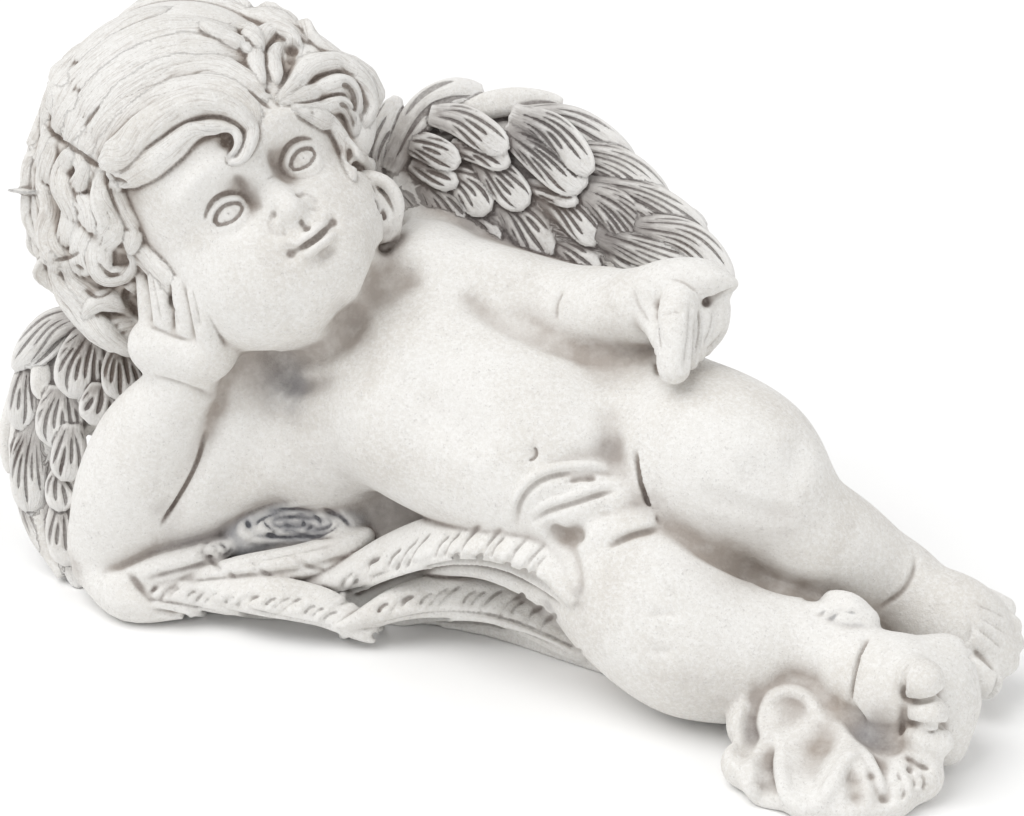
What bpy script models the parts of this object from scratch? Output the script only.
"""Reclining cherub, cast in one piece.

The child lies on its side, propped on its right elbow with its head in its
hand, on a low bed of feathers and cloth. The left wing stands behind the
shoulder, the right wing comes down to the ground behind the elbow. The whole
is one closed solid with a flat underside at Z = 0 and its origin under the
middle of its box.

Lengths in the tables are millimetres; the mesh is made in metres.
"""

import math

import bmesh
import bpy
import numpy as np

# ---------------------------------------------------------------- driving sizes
MM = 0.001
VOXEL = 2.2  # grain of the skin that joins the masses
FACETS = 9400  # triangles kept before the underside is cut
BODY_SMOOTHING = 9  # passes over the joined body, before the carving is added
SMOOTHING = 2  # passes over the whole

# The figure is set out on its front sheet: the plane through AIM that faces a
# viewer TURN degrees to its left and RISE degrees above it, READ mm away. A
# station is (across, down, toward): across and down on the sheet, in units of
# READ / SHEET mm, and toward the viewer in mm.
TURN, RISE = math.radians(25.0), math.radians(24.0)
AIM = np.array([20.0, 0.0, 82.0])
READ, SHEET = 1050.0, 3213.0
MIDDLE = (512.0, 408.0)
TOWARD = np.array([math.sin(TURN) * math.cos(RISE), -math.cos(TURN) * math.cos(RISE), math.sin(RISE)])
ACROSS = np.array([math.cos(TURN), math.sin(TURN), 0.0])
OVER = np.cross(TOWARD, ACROSS)
UNIT = READ / SHEET  # mm to one unit of the sheet

HEAD_TILT, HEAD_TURN = 38.0, 14.0  # degrees: toward the right shoulder, toward the left
SKULL = (240, 195, -20)

# low bed under the child: x, y on the ground, half width, height
BED = [(-118, -14, 27, 18), (-70, 6, 36, 38), (0, 22, 30, 52), (60, 16, 31, 54), (120, 2, 26, 32), (162, 8, 18, 16)]
# the trunk, neck end to seat: station, half width across the back, half depth
TRUNK = [
    ((338, 318, -26), 26, 19), ((368, 346, -22), 34, 23), ((425, 388, -14), 37, 28), ((480, 418, -6), 37, 31),
    ((535, 448, 2), 36, 32), ((585, 478, 4), 35, 32), ((640, 508, 4), 30, 30),
]
# limbs and hands: stations and radii from root to end
LIMBS = {
    "neck": [(352, 330, -24, 21), (300, 270, -22, 21)],
    "thigh_left": [(640, 440, -2, 30), (690, 455, 14, 31), (738, 468, 26, 27), (766, 482, 32, 20)],
    "shin_left": [(766, 482, 32, 19), (800, 522, 27, 18.5), (835, 547, 21, 18), (872, 566, 16, 14.5), (897, 578, 13, 12)],
    "foot_left": [(897, 580, 14, 12), (925, 605, 16, 14), (960, 625, 18, 15), (985, 650, 18, 11)],
    "thigh_right": [(616, 560, 12, 27), (648, 596, 22, 28), (692, 636, 28, 26), (735, 652, 31, 22)],
    "shin_right": [(735, 652, 31, 21), (790, 645, 35, 16.5), (832, 656, 41, 14), (858, 668, 47, 13)],
    "foot_right": [(872, 680, 52, 15), (905, 692, 60, 18.5), (932, 700, 64, 17)],
    "arm_left": [(430, 285, -18, 18), (500, 297, -13, 16.5), (560, 309, -8, 14)],
    "forearm_left": [(560, 309, -8, 14), (600, 312, 4, 15), (642, 308, 19, 11)],
    "hand_left": [(642, 306, 19, 11), (668, 292, 27, 11.5), (700, 290, 29, 10.5), (716, 300, 28, 8)],
    "thumb_left": [(672, 300, 34, 6), (674, 335, 38, 5.8), (675, 370, 39, 5.2)],
    "arm_right": [(268, 425, -36, 19), (215, 468, -42, 19), (165, 508, -48, 18.5), (120, 538, -52, 16)],
    "forearm_right": [(116, 540, -50, 16), (128, 495, -41, 18.5), (148, 445, -33, 18), (170, 405, -23, 13.5), (184, 380, -18, 11)],
    "hand_right": [(184, 380, -18, 11), (188, 345, -16, 13), (180, 312, -14, 11)],
    "fingers_right": [(190, 330, -12, 8), (178, 300, -10, 7), (166, 276, -12, 5)],
}
# rounded masses in the head's frame: station, radii (side, up, through)
HEAD = {
    "skull": ((240, 195, -20), (40, 47, 44)),
    "jowl_right": ((246, 282, -2), (21, 22, 21)),
    "jowl_left": ((320, 246, 4), (19, 20, 19)),
    "jaw": ((285, 262, 2), (24, 24, 22)),
    "crown": ((190, 142, -30), (47, 49, 46)),
    "back_hair": ((185, 200, -44), (46, 48, 38)),
    "ear_left": ((372, 205, -16), (7, 12, 8)),
}
LOCKS = {  # heavy locks of hair: stations and radii
    "side": [(76, 165, -34, 15), (80, 215, -34, 15), (90, 262, -32, 14), (115, 300, -32, 13), (135, 332, -36, 11)],
    "fringe": [(100, 150, -4, 10), (150, 140, 6, 13), (195, 115, 10, 13), (225, 120, 14, 11)],
    "top": [(120, 60, -24, 14), (175, 52, -20, 14), (240, 52, -18, 12), (290, 72, -14, 13), (325, 98, -18, 13)],
    "temple": [(345, 95, -22, 11), (350, 130, -16, 10), (340, 160, -10, 8)],
}
# the face, in the head's own frame: side, up, front from the skull's middle
FACE = {
    "nose": ((0, -17, 42), (4.5, 6, 5)),
    "chin": ((0, -40, 31), (11, 9, 10)),
    "lips": ((0, -30, 37), (9, 5, 5)),
    "forehead": ((0, 12, 24), (30, 22, 21)),
}
FILL = {  # masses in the world's frame: station, radii
    "armpit": ((320, 440, -36), (26, 22, 24)),
    "hollow_of_hand": ((245, 372, -34), (22, 20, 22)),
    "between_the_legs": ((785, 580, 8), (34, 16, 20)),
    "wing_root": ((430, 225, -42), (22, 14, 20)),
    "under_the_back": ((470, 500, -44), (60, 20, 22)),
    "behind_the_elbow": ((130, 470, -64), (26, 16, 34)),
    "under_the_forearm": ((612, 345, 0), (24, 14, 15)),
}
# feathers: stations from root to tip, half width on the sheet, half thickness mm
LEFT_WING = [
    ([(392, 190, -46), (400, 108, -46)], 30, 7), ([(398, 150, -45), (474, 92, -44)], 26, 6), ([(430, 130, -43), (556, 103, -40)], 20, 5),
    ([(500, 130, -40), (570, 136, -36), (626, 160, -31)], 22, 5), ([(570, 165, -34), (668, 200, -24)], 22, 5),
    ([(600, 195, -30), (706, 234, -14)], 22, 5), ([(640, 235, -22), (726, 272, -4)], 20, 5), ([(505, 125, -35), (588, 182, -27)], 20, 4.5),
    ([(535, 195, -29), (595, 240, -21)], 20, 4.5), ([(585, 200, -27), (642, 256, -17)], 18, 4.5),
    ([(420, 150, -38), (482, 205, -33)], 24, 5), ([(460, 190, -34), (542, 250, -26)], 24, 5),
]
RIGHT_WING = [
    ([(105, 325, -50), (24, 366, -60)], 18, 5), ([(48, 365, -60), (14, 424, -66)], 16, 5), ([(85, 340, -52), (75, 395, -56)], 24, 5),
    ([(125, 350, -50), (128, 402, -52)], 22, 5), ([(58, 385, -60), (62, 445, -62)], 22, 5), ([(30, 420, -68), (32, 502, -71)], 18, 5),
    ([(20, 400, -72), (8, 468, -76)], 11, 4.5), ([(30, 480, -72), (50, 558, -69)], 15, 5), ([(55, 540, -68), (78, 584, -64)], 12, 5),
]
# the plates that carry them: station, half width, half thickness mm
LEFT_WEB = [((400, 190, -46), 30, 8), ((470, 185, -42), 30, 8), ((560, 205, -34), 25, 7), ((650, 236, -21), 16, 6), ((712, 264, -7), 8, 4)]
LEFT_ROOT = [((410, 245, -38), 24, 11), ((480, 262, -34), 24, 12), ((550, 280, -26), 20, 10), ((610, 285, -16), 12, 7)]
RIGHT_WEB = [((230, 420, -58), 18, 9), ((140, 375, -56), 20, 8), ((75, 385, -61), 20, 7), ((42, 445, -68), 14, 6.5), ((46, 515, -71), 10, 6), ((72, 570, -66), 7, 6)]
# ground feathers: the third number of a station is its height above the underside
GROUND = [
    ([(340, 584, 20), (380, 560, 27), (425, 541, 32), (465, 537, 34), (505, 542, 32), (545, 562, 25), (570, 586, 19)], 24, 6.5),
    ([(365, 618, 9), (411, 606, 14), (448, 599, 16), (485, 603, 15), (534, 623, 10), (576, 644, 5)], 21, 6),
    ([(225, 600, 10), (270, 600, 12), (315, 608, 12), (345, 618, 9), (366, 630, 6)], 20, 6.5),
    ([(140, 590, 9), (185, 597, 9), (232, 606, 8)], 16, 6.5),
]
# pleated end of the cloth: the middle it spreads from, and its rim with height and radius
RUFFLE_HEART, RUFFLE_ROOT = (868, 712, 50), 9
RUFFLE_RIM = [(757, 770, 6, 8), (800, 788, 6, 11), (850, 797, 5, 11), (900, 790, 6, 10), (925, 768, 9, 8), (795, 714, 26, 10)]
CLOTH = {  # rolls and knots of cloth: stations with height, radii
    "elbow_roll": [(97, 568, 12, 8), (130, 598, 8, 8), (185, 598, 9, 7)],
    "front_roll": [(130, 582, 16, 7), (215, 566, 19, 8), (320, 556, 22, 9)],
    "gnarl": [(245, 540, 22, 8), (295, 522, 26, 10), (345, 528, 28, 9)],
    "shin_knob": [(840, 606, 40, 6), (860, 618, 38, 6)],
}
TOES = {  # root and tip stations, radius
    "left_great": ((972, 655, 22), (986, 674, 24), 6), "left_second": ((990, 650, 16), (1004, 660, 17), 4.6),
    "left_third": ((996, 636, 14), (1012, 643, 14), 4.2), "left_small": ((994, 620, 13), (1008, 624, 13), 4),
    "right_great": ((918, 682, 74), (923, 684, 84), 6.4), "right_second": ((920, 706, 74), (926, 710, 83), 4.8),
    "right_third": ((918, 722, 72), (924, 728, 81), 4.6), "right_small": ((915, 736, 70), (922, 742, 78), 4.3),
}


# ---------------------------------------------------------------- placing
def from_viewer(across, down):
    line = -TOWARD + ACROSS * ((across - MIDDLE[0]) / SHEET) - OVER * ((down - MIDDLE[1]) / SHEET)
    return AIM + TOWARD * READ, line


def station(across, down, toward):
    eye, line = from_viewer(across, down)
    return eye + line * (READ - toward)


def at_height(across, down, height):
    eye, line = from_viewer(across, down)
    return eye + line * ((height - eye[2]) / line[2])


def unit(v):
    return np.asarray(v, float) / np.linalg.norm(v)


def facing(side, over, toward):
    return unit(ACROSS * side + OVER * over + TOWARD * toward)


LEFT_FACE, RIGHT_FACE, FLAT_FACE = facing(-0.25, 0.1, 1), facing(0.1, 0.25, 1), facing(0, 0.45, 0.9)  # how feathers face


def head_frame():
    """Rows: side, up and front of the head."""
    tilt, turn = math.radians(HEAD_TILT), math.radians(HEAD_TURN)
    up = facing(-math.sin(tilt), math.cos(tilt), 0)
    left = facing(math.cos(tilt), math.sin(tilt), 0)
    front = unit(TOWARD * math.cos(turn) + left * math.sin(turn))
    return np.stack([unit(np.cross(up, front)), up, front])


def trunk_front():
    spine = unit(station(*TRUNK[1][0]) - station(*TRUNK[-2][0]))
    return unit(TOWARD - spine * (TOWARD @ spine))


def through(points, steps):
    """A smooth line through the points, and everything carried with them."""
    p = np.asarray(points, float)
    if len(p) == 2:
        t = np.linspace(0, 1, steps + 1)[:, None]
        return p[0] * (1 - t) + p[1] * t
    q = np.vstack([2 * p[0] - p[1], p, 2 * p[-1] - p[-2]])
    out = []
    for i in range(1, len(q) - 2):
        a, b, c, d = q[i - 1 : i + 3]
        for t in np.linspace(0, 1, steps, endpoint=False):
            out.append(0.5 * (2 * b + (c - a) * t + (2 * a - 5 * b + 4 * c - d) * t**2 + (3 * b - a - 3 * c + d) * t**3))
    return np.array(out + [p[-1]])


# ---------------------------------------------------------------- shapes
def mass(bm, centre, radii, frame, fineness=3):
    """An ellipsoid with its radii along the rows of frame."""
    made = bmesh.ops.create_icosphere(bm, subdivisions=fineness, radius=1.0)["verts"]
    turn = np.asarray(frame).T * np.asarray(radii, float)
    for v in made:
        v.co = (turn @ np.array(v.co) + centre) * MM


def loft(bm, line, wide, thick, normal, sides=20):
    """A closed body along line: half width and half thickness at each point,
    the thickness along normal, with rounded ends."""
    line = np.asarray(line, float)
    run = np.gradient(line, axis=0)
    last = len(line) - 1
    slices = [(0, -a) for a in (80, 60, 35)] + [(i, 0) for i in range(last + 1)] + [(last, a) for a in (35, 60, 80)]
    rings = []
    for i, angle in slices:
        along = unit(run[i])
        n = unit(normal - along * (normal @ along))
        w = np.cross(along, n)
        shrink = math.cos(math.radians(angle))
        centre = line[i] + along * min(wide[i], thick[i]) * math.sin(math.radians(angle))
        rings.append([
            bm.verts.new((centre + (w * wide[i] * math.cos(a) + n * thick[i] * math.sin(a)) * shrink) * MM)
            for a in np.linspace(0, 2 * math.pi, sides, endpoint=False)
        ])
    for a, b in zip(rings, rings[1:]):
        for j in range(sides):
            bm.faces.new((a[j], a[(j + 1) % sides], b[(j + 1) % sides], b[j]))
    bm.faces.new(rings[0][::-1])
    bm.faces.new(rings[-1])


def limb(bm, stations, place, steps=4):
    """A round body through stations that carry their radii."""
    path = through([np.append(place(*s[:3]), s[3]) for s in stations], steps)
    loft(bm, path[:, :3], path[:, 3], path[:, 3], OVER * 0.99 + ACROSS * 0.13)


def web(bm, stations, normal, steps=4):
    """The plate that carries a wing's feathers."""
    path = through([np.append(station(*p), (wide, deep)) for p, wide, deep in stations], steps)
    loft(bm, path[:, :3], path[:, 3], path[:, 4], normal)


def feather(bm, stations, half, thick, normal, place, bow=3.0, steps=4):
    """A blade with a round tip, thickest at its root, bowed toward normal."""
    line = through([place(*p) for p in stations], steps if len(stations) > 2 else 8)
    s = np.linspace(0, 1, len(line))
    line = line + normal * (bow * np.sin(math.pi * s))[:, None]
    swell = np.sqrt(np.clip(1 - (np.abs(s - 0.55) / 0.58) ** 2.6, 0.04, 1))
    swell = np.where(s < 0.5, np.maximum(swell, 0.55), swell)
    loft(bm, line, half * UNIT * swell, thick * (1 - 0.45 * s), normal)


def body(bm):
    """The bed, the trunk, the limbs and the head."""
    head = head_frame()
    path = through([(x, y, 0, half, height) for x, y, half, height in BED], 4)
    loft(bm, path[:, :3], path[:, 3], path[:, 4], np.array([0.0, 0.0, 1.0]), 28)
    path = through([np.append(station(*p), (wide, deep)) for p, wide, deep in TRUNK], 4)
    loft(bm, path[:, :3], path[:, 3], path[:, 4], trunk_front(), 28)
    for where, radii in HEAD.values():
        mass(bm, station(*where), radii, head)
    for where, radii in FILL.values():
        mass(bm, station(*where), radii, np.eye(3))
    for stations in LIMBS.values():
        limb(bm, stations, station)
    web(bm, LEFT_ROOT, LEFT_FACE)
    bmesh.ops.recalc_face_normals(bm, faces=bm.faces)


def carving(bm):
    """Face, hair, wings, cloth, feathers and toes, on the joined body."""
    head = head_frame()
    for where, radii in FACE.values():
        mass(bm, station(*SKULL) + np.asarray(where) @ head, radii, head, 2)
    for stations in LOCKS.values():
        limb(bm, stations, station)
    for stations in CLOTH.values():
        limb(bm, stations, at_height)
    for root, tip, radius in TOES.values():
        limb(bm, [(*root, radius), (*tip, radius * 0.95)], station)
    web(bm, LEFT_WEB, LEFT_FACE)
    web(bm, RIGHT_WEB, RIGHT_FACE)
    for stations, half, thick in LEFT_WING:
        feather(bm, stations, half, thick, LEFT_FACE, station)
    for stations, half, thick in RIGHT_WING:
        feather(bm, stations, half, thick, RIGHT_FACE, station)
    for stations, half, thick in GROUND:
        feather(bm, stations, half, thick, FLAT_FACE, at_height)
    heart = station(*RUFFLE_HEART)
    for across, down, height, radius in RUFFLE_RIM:
        end = at_height(across, down, height)
        spread = [RUFFLE_ROOT, (RUFFLE_ROOT + radius) / 2, radius]
        loft(bm, [heart, (heart + end) / 2, end], spread, spread, OVER)
    bmesh.ops.recalc_face_normals(bm, faces=bm.faces)


# ---------------------------------------------------------------- scene
def clear():
    for obj in list(bpy.data.objects):
        bpy.data.objects.remove(obj, do_unlink=True)


def add_object(name, bm):
    mesh = bpy.data.meshes.new(name)
    bm.to_mesh(mesh)
    bm.free()
    obj = bpy.data.objects.new(name, mesh)
    bpy.context.scene.collection.objects.link(obj)
    return obj


def cast_stone():
    mat = bpy.data.materials.new("cast_stone")
    mat.use_nodes = True
    shader = mat.node_tree.nodes["Principled BSDF"]
    shader.inputs["Base Color"].default_value = (0.78, 0.76, 0.72, 1)
    shader.inputs["Roughness"].default_value = 0.65
    shader.inputs["Metallic"].default_value = 0.0
    return mat


def evaluated(obj):
    bpy.context.view_layer.update()
    graph = bpy.context.evaluated_depsgraph_get()
    return bpy.data.meshes.new_from_object(obj.evaluated_get(graph), depsgraph=graph)


def joined(obj, smoothing):
    """The overlapping closed shells of obj as one skin."""
    join = obj.modifiers.new("join", "REMESH")
    join.mode = "VOXEL"
    join.voxel_size = VOXEL * MM
    soften = obj.modifiers.new("soften", "SMOOTH")
    soften.factor = 0.5
    soften.iterations = smoothing
    skin = evaluated(obj)
    bpy.data.objects.remove(obj, do_unlink=True)
    return skin


def outer_skin(mesh):
    """The largest connected skin of mesh, in triangles."""
    bm = bmesh.new()
    bm.from_mesh(mesh)
    seen, skins = set(), []
    for start in bm.faces:
        if start in seen:
            continue
        skin, edge_of_it = [], [start]
        seen.add(start)
        while edge_of_it:
            face = edge_of_it.pop()
            skin.append(face)
            for edge in face.edges:
                for near in edge.link_faces:
                    if near not in seen:
                        seen.add(near)
                        edge_of_it.append(near)
        skins.append(skin)
    skins.sort(key=len)
    inner = [face for skin in skins[:-1] for face in skin]
    if inner:
        bmesh.ops.delete(bm, geom=inner, context="FACES")
    bmesh.ops.triangulate(bm, faces=bm.faces)
    return bm


def main():
    clear()
    bm = bmesh.new()
    body(bm)
    child = joined(add_object("body", bm), BODY_SMOOTHING)
    bm = bmesh.new()
    bm.from_mesh(child)
    carving(bm)
    bm = outer_skin(joined(add_object("carved", bm), SMOOTHING))
    triangles = len(bm.faces)
    statue = add_object("angel_statue", bm)

    thin = statue.modifiers.new("facets", "DECIMATE")
    thin.ratio = FACETS / triangles

    # the flat underside
    low, high = np.array(statue.bound_box).min(0), np.array(statue.bound_box).max(0)
    block = bmesh.new()
    bmesh.ops.create_cube(block, size=1.0)
    for v in block.verts:
        v.co.x = (low[0] + high[0]) / 2 + v.co.x * 0.8
        v.co.y = (low[1] + high[1]) / 2 + v.co.y * 0.6
        v.co.z = (v.co.z - 0.5) * 0.1
    cutter = add_object("underside_cutter", block)
    cutter.hide_render = True
    cutter.display_type = "WIRE"
    cut = statue.modifiers.new("underside", "BOOLEAN")
    cut.operation = "DIFFERENCE"
    cut.solver = "EXACT"
    cut.object = cutter

    # the origin goes under the middle of the box
    points = np.array([v.co for v in evaluated(statue).vertices])
    shift = -(points.min(0) + points.max(0)) / 2
    for mesh in (statue.data, cutter.data):
        for v in mesh.vertices:
            v.co.x += shift[0]
            v.co.y += shift[1]
    statue.data.materials.clear()
    statue.data.materials.append(cast_stone())
    statue.data.shade_smooth()
    print("moved to the origin by", shift[0] / MM, shift[1] / MM)


main()
